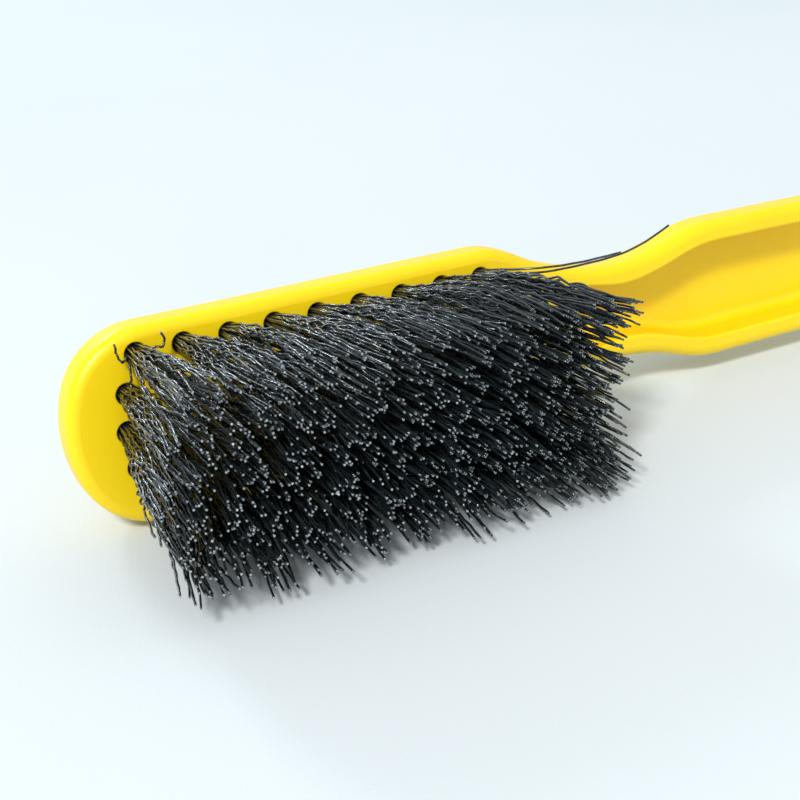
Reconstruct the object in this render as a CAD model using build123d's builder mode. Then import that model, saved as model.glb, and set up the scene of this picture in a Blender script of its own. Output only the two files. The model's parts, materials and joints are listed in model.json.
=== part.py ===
"""Bee brush: a hand brush with a yellow moulded body and five arced rows of nine black tufts.

The brush lies on its side, as it is put down on a table: the bristle face looks along -Y
and is tipped up a little, the handle runs along +X and the table is the plane Z = 0.
The origin is under the middle of the whole brush, on the table.
"""
from build123d import *
import os
from math import atan2, cos, degrees, radians, sin, sqrt

# ---- driving dimensions, mm -------------------------------------------------------------
# pose of the brush
TILT = 11.25                 # how far the bristle face is tipped up, degrees

# moulded body
BODY_LENGTH = 320.0          # toe to handle end
BODY_THICKNESS = 17.0
FACE_EDGE_RADIUS = 3.0       # rounding of the edge round the bristle face
BACK_EDGE_RADIUS = 9.5       # rounding of the edge round the back
HEAD_HALF_WIDTH = 25.8       # at its widest, the shoulder
HEAD_TOE_HALF_WIDTH = 25.3   # where the rounding of the toe starts
TOE_TO_FIRST_TUFT = 19.4     # toe to the first hole of the outer rows
TOE_NOSE_RADIUS = 33.5
TOE_CORNER_RADIUS = 21.0

# handle outline: distance from the first tuft of the outer rows, half width
SHOULDER = (97.0, HEAD_HALF_WIDTH)
NECK_POINTS = [(111.0, 21.2), (125.0, 15.9), (142.0, 14.0), (157.0, 16.3), (170.0, 19.9)]
GRIP_POINTS = [(184.0, 20.5), (225.0, 19.8)]
HANDLE_END_HALF_WIDTH = 17.5
HANDLE_END_STRAIGHT = 268.0
HANDLE_END_NOSE_RADIUS = 22.0
HANDLE_END_CORNER_RADIUS = 12.0

# finger channel in the handle
CHANNEL_START = 118.0
CHANNEL_END = 276.0
CHANNEL_WALL = 6.3
CHANNEL_DEPTH = 12.5
CHANNEL_NOSE_RADIUS = 12.0
CHANNEL_CORNER_RADIUS = 7.0
CHANNEL_FLOOR_RADIUS = 2.6
CHANNEL_RIM_RADIUS = 1.0

# hanging hole
HANGING_HOLE_DIAMETER = 8.0
HANGING_HOLE_FROM_END = 13.0
HANGING_HOLE_CHAMFER = 0.8

# tuft holes: the middle row reaches furthest towards the toe
TUFT_COLUMNS = 9
TUFT_ROWS = 5
PITCH_ALONG = 12.0
PITCH_ACROSS = 9.4
ROW_ARC = 1.2                # set-back of a row is this times its row count from the middle, squared
HOLE_DIAMETER = 5.6
HOLE_DEPTH = 12.0
HOLE_MOUTH_CHAMFER = 0.25

# tufts: folded filaments held down by a flat wire anchor
ROOT_CLEARANCE = 0.05
BRISTLE_REACH = 43.0         # from the face to the cut ends
TIP_HALF_ALONG = 6.7
TIP_HALF_ACROSS = 5.1
SPREAD_ALONG = 1.16          # the cut ends stand wider apart than the holes
SPREAD_ACROSS = 1.20
DRIFT_ALONG = -1.0           # and the whole brush of bristles has sagged to one side
DRIFT_ACROSS = -8.0

# anchors
ANCHOR_WIDTH = 7.0
ANCHOR_THICKNESS = 0.45
ANCHOR_HEIGHT = 3.0
ANCHOR_FOLD = 0.6            # filament folded under the anchor

# ---- derived values ---------------------------------------------------------------------
TILT_SINE = sin(radians(TILT))
TILT_COSINE = cos(radians(TILT))
TOE = -TOE_TO_FIRST_TUFT
HANDLE_END = TOE + BODY_LENGTH
MIDDLE_ROW = (TUFT_ROWS - 1) / 2

BACK_ROUND_ACROSS = HEAD_HALF_WIDTH - BACK_EDGE_RADIUS
BACK_ROUND_DEEP = BODY_THICKNESS - BACK_EDGE_RADIUS
FACE_HEIGHT = (
    BACK_ROUND_ACROSS * TILT_COSINE + BACK_ROUND_DEEP * TILT_SINE + BACK_EDGE_RADIUS
)
REACH_BACK = (
    BACK_ROUND_DEEP * TILT_COSINE + BACK_ROUND_ACROSS * TILT_SINE + BACK_EDGE_RADIUS
)
LOWEST_TIP = SPREAD_ACROSS * MIDDLE_ROW * PITCH_ACROSS - DRIFT_ACROSS + TIP_HALF_ACROSS
REACH_FRONT = BRISTLE_REACH * TILT_COSINE + LOWEST_TIP * TILT_SINE

# The bristle face: its x runs along the brush, its y up across the width, its z out of
# the face, and its origin is level with the first tuft of the outer rows.
FACE = Plane(
    origin=(-(TOE + HANDLE_END) / 2, (REACH_FRONT - REACH_BACK) / 2, FACE_HEIGHT),
    x_dir=(1, 0, 0),
    z_dir=(0, -TILT_COSINE, TILT_SINE),
)


def hole_centre(row, column):
    """Centre of a tuft hole on the face; row 0 is the upper one, column 0 is at the toe."""
    from_middle = row - MIDDLE_ROW
    bow = ROW_ARC * (MIDDLE_ROW**2 - from_middle**2)
    return (column * PITCH_ALONG - bow, -from_middle * PITCH_ACROSS)


def tip_centre(row, column):
    """Middle of a tuft's cut ends."""
    along, across = hole_centre(row, column)
    return (SPREAD_ALONG * along + DRIFT_ALONG, SPREAD_ACROSS * across + DRIFT_ACROSS)


def rounded_end(tip, half_width, nose_radius, corner_radius, direction):
    """Quarter outline of a rounded end: a flat nose arc run into a tighter corner arc.

    direction is -1 for an end that points to -x and +1 for one that points to +x.
    """
    nose = tip - direction * nose_radius
    corner_across = half_width - corner_radius
    corner = nose + direction * sqrt((nose_radius - corner_radius) ** 2 - corner_across**2)
    lean = degrees(atan2(corner_across, abs(corner - nose)))
    if direction < 0:
        CenterArc((nose, 0), nose_radius, 180, -lean)
        CenterArc((corner, corner_across), corner_radius, 180 - lean, lean - 90)
    else:
        CenterArc((nose, 0), nose_radius, 0, lean)
        CenterArc((corner, corner_across), corner_radius, lean, 90 - lean)
    return corner


def body_outline():
    """Outline of the whole body, in the face's own axes, as a filled face."""
    with BuildSketch(Plane.XY) as outline:
        with BuildLine():
            toe_side = rounded_end(
                TOE, HEAD_TOE_HALF_WIDTH, TOE_NOSE_RADIUS, TOE_CORNER_RADIUS, -1
            )
            Spline(
                (toe_side, HEAD_TOE_HALF_WIDTH),
                SHOULDER,
                tangents=((1, 0), (1, 0)),
            )
            Spline(
                SHOULDER,
                *NECK_POINTS,
                *GRIP_POINTS,
                (HANDLE_END_STRAIGHT, HANDLE_END_HALF_WIDTH),
                tangents=((1, 0), (1, 0)),
            )
            end_side = rounded_end(
                HANDLE_END,
                HANDLE_END_HALF_WIDTH,
                HANDLE_END_NOSE_RADIUS,
                HANDLE_END_CORNER_RADIUS,
                1,
            )
            Line(
                (HANDLE_END_STRAIGHT, HANDLE_END_HALF_WIDTH),
                (end_side, HANDLE_END_HALF_WIDTH),
            )
            mirror(about=Plane.XZ)
        make_face()
    return outline.sketch


def channel_outline():
    """Mouth of the finger channel: it follows the neck and grip at the wall's width."""
    start_half_width = NECK_POINTS[1][1] - CHANNEL_WALL
    end_half_width = HANDLE_END_HALF_WIDTH - CHANNEL_WALL
    with BuildSketch(Plane.XY) as mouth:
        with BuildLine():
            start_side = rounded_end(
                CHANNEL_START, start_half_width, CHANNEL_NOSE_RADIUS, CHANNEL_CORNER_RADIUS, -1
            )
            end_side = rounded_end(
                CHANNEL_END, end_half_width, CHANNEL_NOSE_RADIUS, CHANNEL_CORNER_RADIUS, 1
            )
            Spline(
                (start_side, start_half_width),
                *[(x, half - CHANNEL_WALL) for x, half in NECK_POINTS[2:] + GRIP_POINTS],
                (end_side, end_half_width),
                tangents=((1, 0), (1, 0)),
            )
            mirror(about=Plane.XZ)
        make_face()
    return mouth.sketch


HOLES = [hole_centre(row, column) for row in range(TUFT_ROWS) for column in range(TUFT_COLUMNS)]
ANCHOR_PLANE = FACE.offset(ANCHOR_FOLD - HOLE_DEPTH)
HANGING_HOLE = (HANDLE_END - HANGING_HOLE_FROM_END, 0)

OUT_OF_FACE = Axis(FACE.origin, FACE.z_dir)

# ---- body: solid head and channelled handle in one moulding ---------------------------------
with BuildPart() as brush_body:
    with BuildSketch(FACE):
        add(body_outline())
    extrude(amount=-BODY_THICKNESS)
    back = brush_body.faces().sort_by(OUT_OF_FACE)[0]
    fillet(back.edges(), radius=BACK_EDGE_RADIUS)
    front = brush_body.faces().sort_by(OUT_OF_FACE)[-1]
    fillet(front.edges(), radius=FACE_EDGE_RADIUS)

    # finger channel, with its floor and rim rounded
    with BuildSketch(FACE):
        add(channel_outline())
    extrude(amount=-CHANNEL_DEPTH, mode=Mode.SUBTRACT)
    floor = brush_body.faces().filter_by(FACE).sort_by(OUT_OF_FACE)[1]
    fillet(floor.edges(), radius=CHANNEL_FLOOR_RADIUS)
    front = brush_body.faces().filter_by(FACE).sort_by(OUT_OF_FACE)[-1]
    fillet(front.inner_wires()[0].edges(), radius=CHANNEL_RIM_RADIUS)

    # hanging hole
    with BuildSketch(FACE):
        with Locations(HANGING_HOLE):
            Circle(HANGING_HOLE_DIAMETER / 2)
    extrude(amount=-BODY_THICKNESS, mode=Mode.SUBTRACT)
    chamfer(brush_body.edges(Select.LAST).filter_by(GeomType.CIRCLE), length=HANGING_HOLE_CHAMFER)

    # tuft holes, their chamfered mouths and the slots that the anchors bite into their walls
    with BuildSketch(FACE):
        with Locations(*HOLES):
            Circle(HOLE_DIAMETER / 2)
    extrude(amount=-HOLE_DEPTH, mode=Mode.SUBTRACT)
    mouths = brush_body.edges(Select.LAST).filter_by(GeomType.CIRCLE).group_by(OUT_OF_FACE)[-1]
    chamfer(mouths, length=HOLE_MOUTH_CHAMFER)
    with BuildSketch(ANCHOR_PLANE):
        with Locations(*HOLES):
            Rectangle(ANCHOR_WIDTH, ANCHOR_THICKNESS)
    extrude(amount=ANCHOR_HEIGHT, mode=Mode.SUBTRACT)


def make_tuft(row, column):
    """One tuft as a solid: its root in the hole, slotted for the anchor, and its splayed brush."""
    centre = hole_centre(row, column)
    root_radius = HOLE_DIAMETER / 2 - ROOT_CLEARANCE
    with BuildPart() as tuft:
        with BuildSketch(FACE.offset(-HOLE_DEPTH)):
            with Locations(centre):
                Circle(root_radius)
        extrude(amount=HOLE_DEPTH)
        with BuildSketch(FACE):
            with Locations(centre):
                Circle(root_radius)
        with BuildSketch(FACE.offset(BRISTLE_REACH)):
            with Locations(tip_centre(row, column)):
                Ellipse(TIP_HALF_ALONG, TIP_HALF_ACROSS)
        loft()
        with BuildSketch(ANCHOR_PLANE):
            with Locations(centre):
                Rectangle(ANCHOR_WIDTH, ANCHOR_THICKNESS)
        extrude(amount=ANCHOR_HEIGHT, mode=Mode.SUBTRACT)
    return tuft.part


def make_anchors(row):
    """The flat wire anchors of one row of tufts, one for each hole."""
    with BuildPart() as anchors:
        with BuildSketch(ANCHOR_PLANE):
            with Locations(*[hole_centre(row, column) for column in range(TUFT_COLUMNS)]):
                Rectangle(ANCHOR_WIDTH, ANCHOR_THICKNESS)
        extrude(amount=ANCHOR_HEIGHT)
    return anchors.part


def write_node(part, name):
    """Label a finished piece and write it as its own node."""
    part.label = name
    export_step(part, f"parts/{name}.step")


# ---- write the nodes --------------------------------------------------------------------
os.makedirs("parts", exist_ok=True)
write_node(brush_body.part, "brush_body")
for row in range(TUFT_ROWS):
    write_node(make_anchors(row), f"anchors_row_{row + 1}")
    for column in range(TUFT_COLUMNS):
        write_node(make_tuft(row, column), f"tuft_row_{row + 1}_{column + 1}")
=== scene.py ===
"""Looks of the bee brush: a yellow moulded body and 45 tufts of crimped black filaments.

Every tuft is rebuilt filament by filament from the place and splay of its CAD solid.
Lengths are in metres unless a name says otherwise.
"""

import json
import math

import bpy
import numpy as np
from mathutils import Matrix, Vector


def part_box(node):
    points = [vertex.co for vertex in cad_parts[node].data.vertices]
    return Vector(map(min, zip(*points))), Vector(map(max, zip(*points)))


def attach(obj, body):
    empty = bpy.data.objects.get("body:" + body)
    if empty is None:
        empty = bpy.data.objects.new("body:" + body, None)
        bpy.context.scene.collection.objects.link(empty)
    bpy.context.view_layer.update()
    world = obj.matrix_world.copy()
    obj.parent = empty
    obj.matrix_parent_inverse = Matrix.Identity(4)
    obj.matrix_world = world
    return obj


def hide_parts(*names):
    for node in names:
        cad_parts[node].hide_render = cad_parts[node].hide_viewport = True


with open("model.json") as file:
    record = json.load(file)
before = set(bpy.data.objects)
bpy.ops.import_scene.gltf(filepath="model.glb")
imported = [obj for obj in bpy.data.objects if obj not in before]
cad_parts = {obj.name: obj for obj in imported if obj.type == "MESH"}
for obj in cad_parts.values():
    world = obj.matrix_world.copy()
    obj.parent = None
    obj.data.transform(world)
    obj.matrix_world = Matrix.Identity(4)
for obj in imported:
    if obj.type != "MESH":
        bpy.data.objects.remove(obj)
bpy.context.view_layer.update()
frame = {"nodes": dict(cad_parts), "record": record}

# ---- the brush, as its CAD model has it ---------------------------------------------------------
MM = 0.001
ROWS = 5
COLUMNS = 9
HOLE_DEPTH = 12 * MM

# ---- filaments ----------------------------------------------------------------------------------
FILAMENT_RADIUS = 0.31 * MM
FILAMENT_SIDES = 6
FILAMENT_POINTS = 60
FILAMENTS_PER_TUFT = 48
CLUMPS_PER_TUFT = 7              # filaments that hang together at their ends
ROOT_RADIUS = 2.42 * MM          # the circle that the filaments leave the hole in
SEAT_SHAKE = 0.03                # of their places in it, as a share of its radius
ROOT_START = -4 * MM             # where the visible filaments start, inside the hole
FLOOR_CLEARANCE = 0.3 * MM

# ---- where the middle of a tuft's ends lies -----------------------------------------------------
SAG_AT_TOE = -3.4 * MM           # how far the ends of the middle row have sunk
SAG_AT_NECK = -8.2 * MM
SAG_PER_ROW = -0.7 * MM          # the lower rows sink more
SHEAR_PER_ROW = -1.2 * MM        # and lean less towards the handle
ARCH_ALONG = 2.2 * MM            # away from the toe the tufts bow towards the handle
ARCH_ACROSS = 0.4 * MM           # and upwards before they droop
ARCH_FROM, ARCH_FULL = -0.05, 0.5   # as shares of the way from the first column to the last

# ---- how the ends are scattered about it --------------------------------------------------------
SPLAY_ALONG = 7.8 * MM           # how far the cut ends reach from their middle
SPLAY_ACROSS = 6.6 * MM
CLUMP_REACH = 0.95               # how far out the clumps lie, as a share of that
CLUMP_SHAKE = 0.2
GATHER = (0.35, 0.9)             # how far filaments are drawn to their clump
END_SCATTER = 0.85 * MM
WILD_SHARE = 0.12                # of the filaments that stand away from the others
WILD_SCATTER = 2.6 * MM
LOOSER_OUTSIDE = 1.7             # how much more the ends of the outer tufts are scattered

# ---- lengths and bends --------------------------------------------------------------------------
EXTRA_LENGTH = 1.6 * MM          # of the middle filaments past the CAD solid's flat end
LENGTH_SCATTER = 0.8 * MM
CLUMP_LENGTH_SCATTER = 1.3 * MM
SHORT_SHARE = 0.14               # of the filaments that end before the others
SHORT_BY = (2 * MM, 10 * MM)
BOW_SCATTER = 1.0 * MM
CLUMP_BOW_SCATTER = 0.9 * MM

# ---- crimp --------------------------------------------------------------------------------------
CRIMP_SWING = 0.30 * MM
CRIMP_SWING_RANGE = (0.6, 1.4)
CRIMP_WAVES = (                  # wave length, share of the swing, turn in radians
    (5.2 * MM, 1.0, 0.0),
    (3.0 * MM, 0.22, 0.9),
    (9.0 * MM, 0.8, 1.9),
)
CRIMP_LENGTH_RANGE = (0.8, 1.25)
CRIMP_PHASE_SCATTER = 0.5        # radians, within a clump
CRIMP_LEAN_SCATTER = 0.3         # radians, within a clump
# share of the crimp, and the heights above the face where it starts and where it is full
CRIMP_TOGETHER = (0.7, 1 * MM, 9 * MM)     # that all filaments of a tuft have alike
CRIMP_APART = (0.75, 7 * MM, 20 * MM)      # that each clump has for itself
# share of the crimp that is gone at the ends, and the shares of the length between which it goes
CRIMP_FADE = (0.8, 0.6, 0.95)


# ---- materials ----------------------------------------------------------------------------------
def new_material(name):
    """An empty node material with a Principled shader; returns it with its tree and shader."""
    material = bpy.data.materials.new(name)
    material.use_nodes = True
    tree = material.node_tree
    tree.nodes.clear()
    output = tree.nodes.new("ShaderNodeOutputMaterial")
    shader = tree.nodes.new("ShaderNodeBsdfPrincipled")
    tree.links.new(shader.outputs["BSDF"], output.inputs["Surface"])
    return material, tree, shader


def noise(tree, scale, detail=3.0, roughness=0.5, stretch=(1, 1, 1)):
    """Noise in object space; scale is in lumps per metre."""
    place = tree.nodes.new("ShaderNodeTexCoord")
    mapping = tree.nodes.new("ShaderNodeMapping")
    mapping.inputs["Scale"].default_value = stretch
    tree.links.new(place.outputs["Object"], mapping.inputs["Vector"])
    texture = tree.nodes.new("ShaderNodeTexNoise")
    texture.inputs["Scale"].default_value = scale
    texture.inputs["Detail"].default_value = detail
    texture.inputs["Roughness"].default_value = roughness
    tree.links.new(mapping.outputs["Vector"], texture.inputs["Vector"])
    return texture.outputs["Fac"]


def ramp(tree, value, first, last):
    """A colour ramp over a value; each end is (position, colour)."""
    node = tree.nodes.new("ShaderNodeValToRGB")
    for element, (position, colour) in zip(node.color_ramp.elements, (first, last)):
        element.position = position
        element.color = (*colour, 1)
    tree.links.new(value, node.inputs["Fac"])
    return node.outputs["Color"]


def remap(tree, value, low, high, from_low=0.3, from_high=0.7):
    """A value moved from the middle of a noise's range to low..high."""
    node = tree.nodes.new("ShaderNodeMapRange")
    node.inputs["From Min"].default_value = from_low
    node.inputs["From Max"].default_value = from_high
    node.inputs["To Min"].default_value = low
    node.inputs["To Max"].default_value = high
    tree.links.new(value, node.inputs["Value"])
    return node.outputs["Result"]


def bump(tree, shader, height, strength, distance, after=None):
    """Bump on a shader's normal, on top of an earlier bump if one is given."""
    node = tree.nodes.new("ShaderNodeBump")
    node.inputs["Strength"].default_value = strength
    node.inputs["Distance"].default_value = distance
    tree.links.new(height, node.inputs["Height"])
    if after is not None:
        tree.links.new(after, node.inputs["Normal"])
    tree.links.new(node.outputs["Normal"], shader.inputs["Normal"])
    return node.outputs["Normal"]


def yellow_plastic():
    """Glossy moulded polypropylene: warm, slightly translucent, faintly orange-peeled."""
    material, tree, shader = new_material("yellow_plastic")
    cloud = noise(tree, scale=22, detail=4)
    colour = ramp(tree, cloud, (0.3, (0.885, 0.605, 0.002)), (0.7, (0.915, 0.65, 0.004)))
    tree.links.new(colour, shader.inputs["Base Color"])
    scuffs = noise(tree, scale=900, detail=5, roughness=0.7, stretch=(0.15, 1, 1))
    tree.links.new(remap(tree, scuffs, low=0.30, high=0.42), shader.inputs["Roughness"])
    shader.inputs["Specular IOR Level"].default_value = 0.35
    shader.inputs["Subsurface Weight"].default_value = 0.12
    shader.inputs["Subsurface Radius"].default_value = (0.004, 0.002, 0.0004)
    shader.inputs["Subsurface Scale"].default_value = 1.0
    peel = noise(tree, scale=260, detail=2)
    peeled = bump(tree, shader, peel, strength=0.05, distance=0.0004)
    grain = noise(tree, scale=2600, detail=2)
    bump(tree, shader, grain, strength=0.03, distance=0.0001, after=peeled)
    return material


def bristle_black():
    """Black filament: satin sides with streaks and patches of gloss."""
    material, tree, shader = new_material("bristle_black")
    streak = noise(tree, scale=1500, detail=3, stretch=(1, 0.15, 1))
    colour = ramp(tree, streak, (0.3, (0.004, 0.007, 0.008)), (0.75, (0.018, 0.026, 0.029)))
    tree.links.new(colour, shader.inputs["Base Color"])
    tree.links.new(remap(tree, streak, low=0.18, high=0.32), shader.inputs["Roughness"])
    shader.inputs["Specular IOR Level"].default_value = 0.8
    polish = noise(tree, scale=1300, detail=2, stretch=(1, 0.1, 1))
    patches = remap(tree, polish, low=0.0, high=0.7, from_low=0.42, from_high=0.6)
    tree.links.new(patches, shader.inputs["Coat Weight"])
    shader.inputs["Coat Roughness"].default_value = 0.12
    shader.inputs["Coat IOR"].default_value = 1.6
    bump(tree, shader, noise(tree, scale=5200, detail=2), strength=0.06, distance=0.0001)
    return material


def bristle_cut():
    """The sheared ends of the filaments, dull and greyer than their sides; the lighter specks are
    painted glints of light.
    """
    material, tree, shader = new_material("bristle_cut")
    speck_and_glint = noise(tree, scale=700, detail=3, roughness=0.7)
    # the light end of this ramp is a painted glint on the cut ends; the dark end is their own dull
    # grey
    colour = ramp(tree, speck_and_glint, (0.34, (0.03, 0.036, 0.04)), (0.66, (0.42, 0.48, 0.50)))
    tree.links.new(colour, shader.inputs["Base Color"])
    shader.inputs["Roughness"].default_value = 0.55
    return material


def anchor_wire():
    """Plain drawn steel wire."""
    material, tree, shader = new_material("anchor_wire")
    drawn = noise(tree, scale=3000, detail=3, stretch=(0.1, 1, 1))
    colour = ramp(tree, drawn, (0.3, (0.42, 0.42, 0.43)), (0.7, (0.60, 0.60, 0.61)))
    tree.links.new(colour, shader.inputs["Base Color"])
    tree.links.new(remap(tree, drawn, low=0.25, high=0.45), shader.inputs["Roughness"])
    shader.inputs["Metallic"].default_value = 1.0
    return material


def table_cloth():
    """Pale, faintly woven cloth under the brush."""
    material, tree, shader = new_material("table_cloth")
    cloud = noise(tree, scale=3.0, detail=2)
    colour = ramp(tree, cloud, (0.3, (0.595, 0.63, 0.64)), (0.7, (0.62, 0.655, 0.66)))
    tree.links.new(colour, shader.inputs["Base Color"])
    shader.inputs["Roughness"].default_value = 0.95
    shader.inputs["Specular IOR Level"].default_value = 0.1
    folds = bump(tree, shader, noise(tree, scale=7, detail=1), strength=0.25, distance=0.01)
    weave = noise(tree, scale=1400, detail=1)
    bump(tree, shader, weave, strength=0.12, distance=0.0003, after=folds)
    return material


YELLOW = yellow_plastic()
BLACK = bristle_black()
CUT = bristle_cut()
WIRE = anchor_wire()


# ---- the brush's own directions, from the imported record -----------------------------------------
def mount(name):
    """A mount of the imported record."""
    return next(m for m in frame["record"]["mounts"] if m["name"] == name)


OUT = np.array(mount("hanging_hole")["axis"])       # out of the bristle face
OUT /= np.linalg.norm(OUT)
ALONG = np.array([1.0, 0.0, 0.0])                   # towards the handle
ACROSS = np.cross(OUT, ALONG)                       # up across the width


def middle(points):
    """Middle of the extent of some points, in the brush's own directions."""
    axes = np.stack([ALONG, ACROSS, OUT])
    local = points @ axes.T
    return ((local.min(0) + local.max(0)) / 2) @ axes


def tuft_ends(node):
    """Where a tuft leaves the face, and the middle of its cut ends, from its CAD solid."""
    mesh = frame["nodes"][node].data
    points = np.empty(len(mesh.vertices) * 3, np.float32)
    mesh.vertices.foreach_get("co", points)
    points = points.reshape(-1, 3).astype(float)
    height = points @ OUT
    near = 0.01 * MM
    root = middle(points[height < height.min() + near]) + HOLE_DEPTH * OUT
    tip = middle(points[height > height.max() - near])
    return root, tip


# ---- filament centre lines ----------------------------------------------------------------------
def packed_disc(count, random):
    """count points spread evenly over a unit disc, slightly shaken."""
    index = np.arange(count) + 0.5
    radius = np.sqrt(index / count)
    angle = index * math.pi * (3 - math.sqrt(5))
    points = np.stack([radius * np.cos(angle), radius * np.sin(angle)], 1)
    return points + random.normal(0, SEAT_SHAKE, points.shape)


def smooth(value, low, high):
    """0 below low, 1 above high, and a smooth step between them."""
    step = np.clip((value - low) / (high - low), 0, 1)
    return step * step * (3 - 2 * step)


def crimp(run, clump, random):
    """Sideways offsets of crimped filaments: an uneven kinked wave, much the same in a clump."""
    count, clumps = len(clump), clump.max() + 1
    offset = np.zeros((count, len(run), 2))
    lean = random.uniform(0, math.tau, clumps)[clump]
    lean += random.normal(0, CRIMP_LEAN_SCATTER, count)
    swing = CRIMP_SWING * random.uniform(*CRIMP_SWING_RANGE, count)
    for wave_length, share, turn in CRIMP_WAVES:
        length = wave_length * random.uniform(*CRIMP_LENGTH_RANGE, clumps)[clump]
        phase = random.uniform(0, math.tau, clumps)[clump]
        phase += random.normal(0, CRIMP_PHASE_SCATTER, count)
        angle = math.tau * run[None, :] / length[:, None] + phase[:, None]
        kinked = np.sin(angle) - np.sin(3 * angle) / 9
        kinked *= (swing * share)[:, None]
        heading = lean + turn + random.normal(0, CRIMP_LEAN_SCATTER, count)
        offset[:, :, 0] += kinked * np.cos(heading)[:, None]
        offset[:, :, 1] += kinked * np.sin(heading)[:, None]
    return offset


def tip_offsets(seat, loose, random):
    """Each filament's end, sideways from the middle of its tuft's ends, and its clump."""
    count = len(seat)
    clumps = packed_disc(CLUMPS_PER_TUFT, random) * CLUMP_REACH
    clumps += random.normal(0, CLUMP_SHAKE, clumps.shape)
    nearest = ((seat[:, None] - clumps[None]) ** 2).sum(2).argmin(1)
    gather = random.uniform(*GATHER, count)[:, None]
    splay = seat * (1 - gather) + clumps[nearest] * gather
    splay = splay * [SPLAY_ALONG, SPLAY_ACROSS]
    splay += random.normal(0, END_SCATTER * loose, splay.shape)
    wild = random.random(count) < WILD_SHARE * loose
    splay[wild] += random.normal(0, WILD_SCATTER, (wild.sum(), 2))
    return splay, nearest


def filament_depths(reach, lateral, clump, loose, random):
    """How far each filament reaches from the face: those that lean out reach less far."""
    count = len(clump)
    depth = reach + EXTRA_LENGTH - (lateral**2).sum(1) / (2 * reach)
    depth += random.normal(0, LENGTH_SCATTER * loose, count)
    depth += random.normal(0, CLUMP_LENGTH_SCATTER, CLUMPS_PER_TUFT)[clump]
    short = random.random(count) < SHORT_SHARE
    depth[short] -= random.uniform(*SHORT_BY, short.sum())
    return depth


def crimp_strength(run, steps, amount):
    """How strong a crimp is along the filaments: it starts above the face and fades at the ends."""
    share, first, full = amount
    gone, fade_from, fade_to = CRIMP_FADE
    faded = 1 - gone * smooth(steps, fade_from, fade_to)
    return share * smooth(run, first - ROOT_START, full - ROOT_START) * faded


def tuft_paths(root, tip, drift, arch, loose, random):
    """Centre lines of one tuft's filaments, as (filament, point, xyz)."""
    count = FILAMENTS_PER_TUFT
    seat = packed_disc(count, random)
    reach = (tip - root) @ OUT
    splay, clump = tip_offsets(seat, loose, random)
    depth = filament_depths(reach, drift[None] + splay, clump, loose, random)
    bow = random.normal(0, BOW_SCATTER, (count, 2))
    bow += random.normal(0, CLUMP_BOW_SCATTER, (CLUMPS_PER_TUFT, 2))[clump]

    steps = np.linspace(0, 1, FILAMENT_POINTS)
    height = ROOT_START + (depth - ROOT_START)[:, None] * steps[None]
    part = np.clip(height / depth[:, None], 0, 1)
    start = seat * ROOT_RADIUS
    opening = (1.35 * part - 0.35 * part**2)[:, :, None]     # splays quickly, then runs straight
    sinking = (0.2 * part + 0.8 * part**2)[:, :, None]       # droops mostly towards the end
    flat = start[:, None] + (splay - start)[:, None] * opening + drift * sinking
    flat += bow[:, None] * (np.sin(math.pi * part) * part)[:, :, None]
    flat += arch * np.sin(math.pi * part)[:, :, None]

    run = steps * (reach - ROOT_START)
    together = crimp_strength(run, steps, CRIMP_TOGETHER)
    apart = crimp_strength(run, steps, CRIMP_APART)
    flat += crimp(run, np.zeros(count, int), random) * together[None, :, None]
    flat += crimp(run, clump, random) * apart[None, :, None]
    return (
        root
        + flat[:, :, :1] * ALONG
        + flat[:, :, 1:] * ACROSS
        + height[:, :, None] * OUT
    )


def rest_on_floor(paths):
    """Filaments that would pass through the table bend along it instead."""
    low = FILAMENT_RADIUS + FLOOR_CLEARANCE
    paths[:, :, 2] = np.maximum(paths[:, :, 2], low)
    return paths


# ---- filament meshes ----------------------------------------------------------------------------
def ring_points(paths):
    """The points of every ring round every path, filament by filament."""
    tangent = np.gradient(paths, axis=1)
    tangent /= np.linalg.norm(tangent, axis=2, keepdims=True)
    side = np.cross(tangent, ALONG)
    side /= np.linalg.norm(side, axis=2, keepdims=True)
    over = np.cross(tangent, side)
    turn = np.linspace(0, math.tau, FILAMENT_SIDES, endpoint=False)
    ring = (
        side[:, :, None] * np.cos(turn)[None, None, :, None]
        + over[:, :, None] * np.sin(turn)[None, None, :, None]
    )
    return (paths[:, :, None] + FILAMENT_RADIUS * ring).reshape(-1, 3)


def ring_faces(count, steps):
    """Corner numbers of the side quads, the root caps and the cut ends of count filaments."""
    sides = FILAMENT_SIDES
    base = (np.arange(count) * steps * sides)[:, None, None]
    row = (np.arange(steps - 1) * sides)[None, :, None]
    this = np.arange(sides)[None, None, :]
    following = (np.arange(sides) + 1)[None, None, :] % sides
    quads = np.stack(
        [
            base + row + this,
            base + row + following,
            base + row + sides + following,
            base + row + sides + this,
        ],
        -1,
    ).reshape(-1, 4)
    first_ring = base[:, 0] + np.arange(sides)[None, :]
    roots = first_ring[:, ::-1]
    ends = first_ring + (steps - 1) * sides
    return quads, roots, ends


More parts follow.
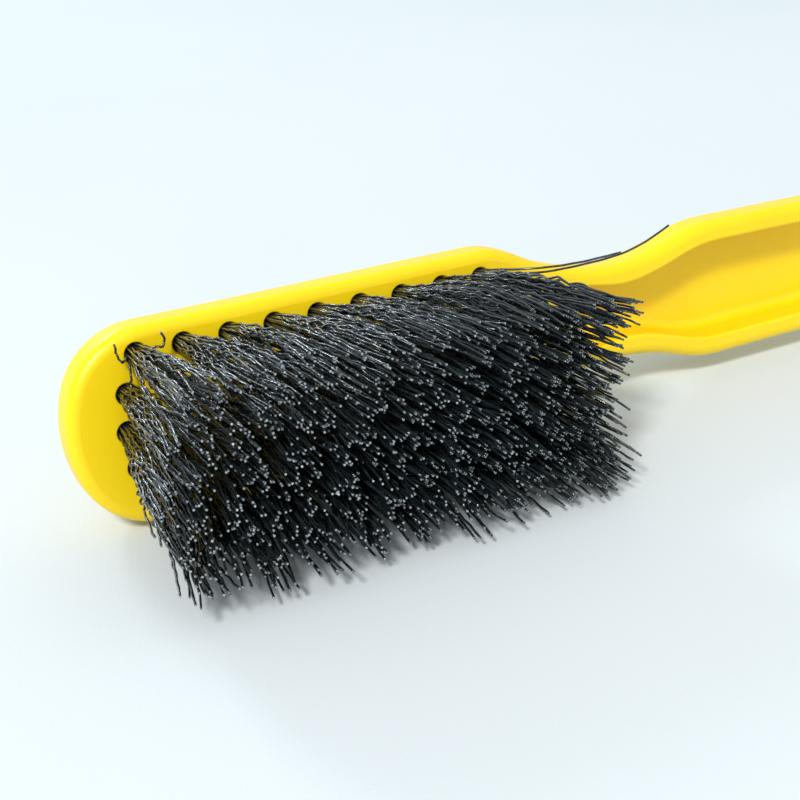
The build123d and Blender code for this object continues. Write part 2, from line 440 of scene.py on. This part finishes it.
def filament_mesh(name, paths):
    """One mesh of round filaments along the paths, with separate cut ends."""
    count, steps, _ = paths.shape
    points = ring_points(paths)
    quads, roots, ends = ring_faces(count, steps)
    loops = np.concatenate([quads.ravel(), roots.ravel(), ends.ravel()]).astype(np.int32)
    caps = np.full(2 * count, FILAMENT_SIDES)
    sizes = np.concatenate([np.full(len(quads), 4), caps]).astype(np.int32)
    starts = np.concatenate([[0], np.cumsum(sizes)[:-1]]).astype(np.int32)
    is_side = np.arange(len(sizes)) < len(quads)
    is_end = np.arange(len(sizes)) >= len(sizes) - count

    mesh = bpy.data.meshes.new(name)
    mesh.vertices.add(len(points))
    mesh.vertices.foreach_set("co", points.astype(np.float32).ravel())
    mesh.loops.add(len(loops))
    mesh.loops.foreach_set("vertex_index", loops)
    mesh.polygons.add(len(sizes))
    mesh.polygons.foreach_set("loop_start", starts)
    mesh.polygons.foreach_set("loop_total", sizes)
    mesh.polygons.foreach_set("material_index", is_end.astype(np.int32))
    mesh.update(calc_edges=True)
    mesh.polygons.foreach_set("use_smooth", is_side)
    mesh.materials.append(BLACK)
    mesh.materials.append(CUT)
    mesh.validate()
    piece = bpy.data.objects.new(name, mesh)
    bpy.context.scene.collection.objects.link(piece)
    return piece


# ---- tufts --------------------------------------------------------------------------------------
def make_tuft(row, column):
    """One tuft in place of its CAD solid."""
    node = f"tuft_row_{row}_{column}"
    random = np.random.default_rng(1000 * row + column)
    root, tip = tuft_ends(node)
    along_brush = (column - 1) / (COLUMNS - 1)
    below_middle = row - (ROWS + 1) / 2
    sag = SAG_AT_TOE + (SAG_AT_NECK - SAG_AT_TOE) * along_brush**2 + SAG_PER_ROW * below_middle
    drift = np.array([(tip - root) @ ALONG + SHEAR_PER_ROW * below_middle, sag])
    arch = np.array([ARCH_ALONG, ARCH_ACROSS]) * smooth(along_brush, ARCH_FROM, ARCH_FULL)
    outside = row == ROWS or column == COLUMNS
    loose = LOOSER_OUTSIDE if outside else 1.0
    paths = rest_on_floor(tuft_paths(root, tip, drift, arch, loose, random))
    piece = filament_mesh(f"bristles_row_{row}_{column}", paths)
    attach(piece, "root")
    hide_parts(node)


for row in range(1, ROWS + 1):
    for column in range(1, COLUMNS + 1):
        make_tuft(row, column)


# ---- strays: filaments that have sprung out of a tuft -------------------------------------------
TOE_TUFT = (1, 1)
NECK_TUFT = (1, 9)
NEARLY_STRAIGHT = (0.15, 1.0)    # crimp: share of the usual swing, and how much tighter it is
CURLED = (0.8, 2.2)
STRAY_CRIMP_FROM = 3 * MM        # along the filament, where its crimp starts
STRAY_CRIMP_FULL = 6 * MM

# name: tuft as (row, column), crimp, and points as (along, across, out) from the tuft's hole, mm
STRAYS = {
    "stray_over_neck_long": (
        NECK_TUFT,
        NEARLY_STRAIGHT,
        [
            (0.8, 1.2, -3),
            (1.6, 1.6, 1),
            (6, 1.4, 8),
            (12, 0.8, 12),
            (27.5, 1.9, 16),
            (39, 2.9, 17),
            (49, 8, 18),
        ],
    ),
    "stray_over_neck_short": (
        NECK_TUFT,
        NEARLY_STRAIGHT,
        [
            (-0.3, 1.9, -3),
            (0.6, 2.2, 1),
            (7, 2.3, 9),
            (16, 2.3, 14),
            (24, 2.6, 16),
            (33.5, 3.3, 17.2),
        ],
    ),
    "stray_at_toe_left": (
        TOE_TUFT,
        CURLED,
        [
            (-1.9, 0.6, -3),
            (-2.1, 0.4, 0.6),
            (-3.4, -0.6, 2.4),
            (-4.9, -0.4, 3),
            (-5.6, 1.2, 3.3),
            (-5.9, 4.2, 4),
        ],
    ),
    "stray_at_toe_right": (
        TOE_TUFT,
        CURLED,
        [
            (0.6, 1.9, -3),
            (1, 2, 1),
            (3, 1.5, 3.2),
            (5.6, 1.2, 3.6),
            (6.9, 2.4, 3.8),
            (5.4, 5, 4.6),
        ],
    ),
    "stray_at_toe_down": (
        TOE_TUFT,
        CURLED,
        [
            (-1.7, -1.2, -3),
            (-2, -1.2, 1),
            (-2.8, -3, 2.6),
            (-3, -5.6, 3),
            (-3.3, -8.6, 2.6),
            (-3, -11, 3.4),
        ],
    ),
}


def smooth_line(root, points):
    """Points along a smooth curve that starts and ends at the given ones."""
    curve = bpy.data.curves.new("stray", "CURVE")
    curve.dimensions = "3D"
    spline = curve.splines.new("NURBS")
    spline.points.add(len(points) - 1)
    for point, (along, across, out) in zip(spline.points, points):
        place = root + (along * ALONG + across * ACROSS + out * OUT) * MM
        point.co = (*place, 1)
    spline.order_u = 4
    spline.use_endpoint_u = True
    spline.resolution_u = 12
    owner = bpy.data.objects.new("stray", curve)
    mesh = bpy.data.meshes.new_from_object(owner)
    path = np.array([vertex.co for vertex in mesh.vertices])
    bpy.data.objects.remove(owner)
    return path


def make_stray(name, tuft, wave, points, seed):
    """One stray filament that leaves the hole of the tuft (row, column)."""
    random = np.random.default_rng(seed)
    row, column = tuft
    swing, tightness = wave
    root, _ = tuft_ends(f"tuft_row_{row}_{column}")
    path = smooth_line(root, points)
    run = np.concatenate([[0], np.cumsum(np.linalg.norm(np.diff(path, axis=0), axis=1))])
    offset = crimp(run * tightness, np.zeros(1, int), random)[0]
    offset *= (swing * smooth(run, STRAY_CRIMP_FROM, STRAY_CRIMP_FULL))[:, None]
    path = path + offset[:, :1] * ACROSS + offset[:, 1:] * OUT
    piece = filament_mesh(name, rest_on_floor(path[None]))
    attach(piece, "root")


for seed, (name, (tuft, wave, points)) in enumerate(STRAYS.items()):
    make_stray(name, tuft, wave, points, seed)


# ---- carried-over CAD nodes ---------------------------------------------------------------------
def paint(node, material):
    """Gives a CAD node its material."""
    data = frame["nodes"][node].data
    data.materials.clear()
    data.materials.append(material)


paint("brush_body", YELLOW)
for row in range(1, ROWS + 1):
    paint(f"anchors_row_{row}", WIRE)


# ---- table, light and camera --------------------------------------------------------------------
def make_floor(half):
    """A square cloth-covered table that reaches this far each way from the middle."""
    mesh = bpy.data.meshes.new("table_cloth")
    mesh.from_pydata(
        [(-half, -half, 0), (half, -half, 0), (half, half, 0), (-half, half, 0)],
        [],
        [(0, 1, 2, 3)],
    )
    mesh.materials.append(table_cloth())
    floor = bpy.data.objects.new("table_cloth", mesh)
    bpy.context.scene.collection.objects.link(floor)


def direction(azimuth, elevation):
    """Unit vector from the object: azimuth 0 is -Y (its bristles), elevation is above the table."""
    turn, rise = math.radians(azimuth), math.radians(elevation)
    flat = math.cos(rise)
    return Vector((math.sin(turn) * flat, -math.cos(turn) * flat, math.sin(rise)))


def soft_light(name, place, target, size, watts, colour=(1, 1, 1)):
    """A square softbox at place, facing target."""
    lamp = bpy.data.lights.new(name, "AREA")
    lamp.shape = "SQUARE"
    lamp.size = size
    lamp.energy = watts
    lamp.color = colour
    light = bpy.data.objects.new(name, lamp)
    light.location = place
    light.rotation_mode = "QUATERNION"
    light.rotation_quaternion = (target - place).to_track_quat("-Z", "Y")
    bpy.context.scene.collection.objects.link(light)


def make_world(colour, strength):
    """An even pale surround."""
    world = bpy.data.worlds.new("pale_room")
    world.use_nodes = True
    background = world.node_tree.nodes["Background"]
    background.inputs["Color"].default_value = (*colour, 1)
    background.inputs["Strength"].default_value = strength
    bpy.context.scene.world = world


def make_camera(aim, azimuth, elevation, distance, lens):
    """A camera at the given direction and distance from its aim."""
    back = direction(azimuth, elevation)
    data = bpy.data.cameras.new("camera")
    data.lens = lens
    data.sensor_width = 36
    data.clip_start = 0.01
    data.clip_end = 50
    camera = bpy.data.objects.new("camera", data)
    camera.location = Vector(aim) + back * distance
    camera.rotation_mode = "QUATERNION"
    camera.rotation_quaternion = (-back).to_track_quat("-Z", "Y")
    bpy.context.scene.collection.objects.link(camera)
    bpy.context.scene.camera = camera


make_floor(half=60.0)
head = sum((Vector(c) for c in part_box("tuft_row_3_5")), Vector()) / 2
soft_light(
    "key_panel",
    place=head + direction(azimuth=-50, elevation=47) * 4.0,
    target=head,
    size=0.64,
    watts=138,
)
soft_light(
    "back_panel",
    place=head + direction(azimuth=-170, elevation=28) * 3.2,
    target=head,
    size=0.6,
    watts=31,
    colour=(0.78, 0.91, 1.0),
)
make_world(colour=(0.88, 0.95, 1.0), strength=0.82)
bpy.context.scene.view_settings.view_transform = "Standard"
make_camera(
    aim=(-0.0800, -0.0019, 0.0269),
    azimuth=-28.5,
    elevation=28.2,
    distance=0.352,
    lens=63.0,
)
